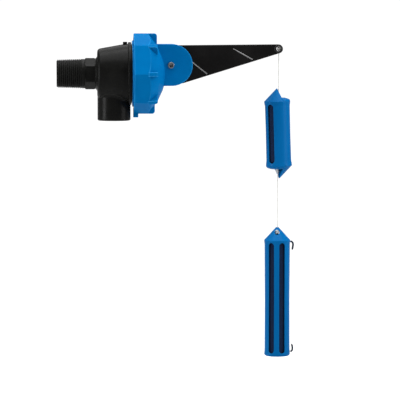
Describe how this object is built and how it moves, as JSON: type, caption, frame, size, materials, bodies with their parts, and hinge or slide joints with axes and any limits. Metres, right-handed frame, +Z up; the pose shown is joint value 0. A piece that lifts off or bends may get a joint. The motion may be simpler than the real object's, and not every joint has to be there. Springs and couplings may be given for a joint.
{
  "type": "float valve",
  "caption": "Right-angle diaphragm float valve with a threaded inlet, a domed cap, a pivoted arm and floats hanging from it on a cord.",
  "frame": {"origin": "centre of the inlet's end face, on the axis of the valve", "axes": "+X along the valve's axis from the inlet to the cap, +Z up against the hanging floats, +Y away from the viewer"},
  "size_m": [0.2794, 0.0944, 0.3814],
  "materials": {
    "body_black": "black moulded glass-filled plastic, soft sheen",
    "arm_black": "black moulded plastic, satin",
    "cap_blue": "bright blue moulded plastic, semi-gloss",
    "float_blue": "blue moulded plastic, satin",
    "cleat_dark": "dark blue-grey plastic, satin",
    "white_insert": "natural white acetal, satin",
    "steel": "stainless steel, drawn and turned",
    "rubber": "black moulded rubber, matt",
    "foam": "dark navy closed-cell foam, matt",
    "cord": "light grey braided cord"
  },
  "bodies": {
    "valve": {"valve_body": "body_black", "cap": "cap_blue", "pilot_jet": "white_insert", "pivot_pin": "steel", "pin_clip": "steel", "diaphragm": "rubber", "return_spring": "steel", "bleed_pin": "steel"},
    "diaphragm_unit": {"diaphragm_plate": "white_insert", "diaphragm_guide": "white_insert", "diaphragm_screw": "steel"},
    "arm": {"float_arm": "arm_black", "pilot_seal": "rubber", "arm_knot": "cord"},
    "upper_cord": {"upper_cord_top": "cord", "stop_knot": "cord", "upper_cord_end": "cord"},
    "upper_float": {"upper_float_left_shell": "float_blue", "upper_float_right_shell": "float_blue", "upper_float_core": "foam"},
    "lower_cord": {"lower_cord": "cord"},
    "lower_float": {"lower_float_front_shell": "float_blue", "lower_float_rear_shell": "float_blue", "lower_float_core": "foam", "float_knot": "cord", "cleat_top": "cleat_dark", "cleat_bottom": "cleat_dark"}
  },
  "joints": [
    {"name": "arm_pivot", "type": "hinge", "parent": "valve", "child": "arm", "pos_m": [0.1338, 0, 0.01], "axis": [0, -1, 0], "range_deg": [0, 12]},
    {"name": "diaphragm_travel", "type": "slide", "parent": "valve", "child": "diaphragm_unit", "axis": [1, 0, 0], "range_m": [-0.0055, 0], "deforming": ["return_spring", "diaphragm"]},
    {"name": "cord_swing", "type": "hinge", "parent": "arm", "child": "upper_cord", "pos_m": [0.2612, 0, 0.0233], "axis": [0, -1, 0], "range_deg": [-25, 25]},
    {"name": "upper_float_slide", "type": "slide", "parent": "upper_cord", "child": "upper_float", "axis": [0.0064, 0, 1], "range_m": [0, 0.03]},
    {"name": "lower_cord_swing", "type": "hinge", "parent": "upper_cord", "child": "lower_cord", "pos_m": [0.26026, 0, -0.124], "axis": [0, -1, 0], "range_deg": [-20, 20]},
    {"name": "lower_float_sway", "type": "hinge", "parent": "lower_cord", "child": "lower_float", "pos_m": [0.2598, 0, -0.1798], "axis": [0, -1, 0], "range_deg": [-15, 15]}
  ],
  "couplings": [
    {"joint": "diaphragm_travel", "follows": "arm_pivot", "m_per_rad": -0.026}
  ]
}
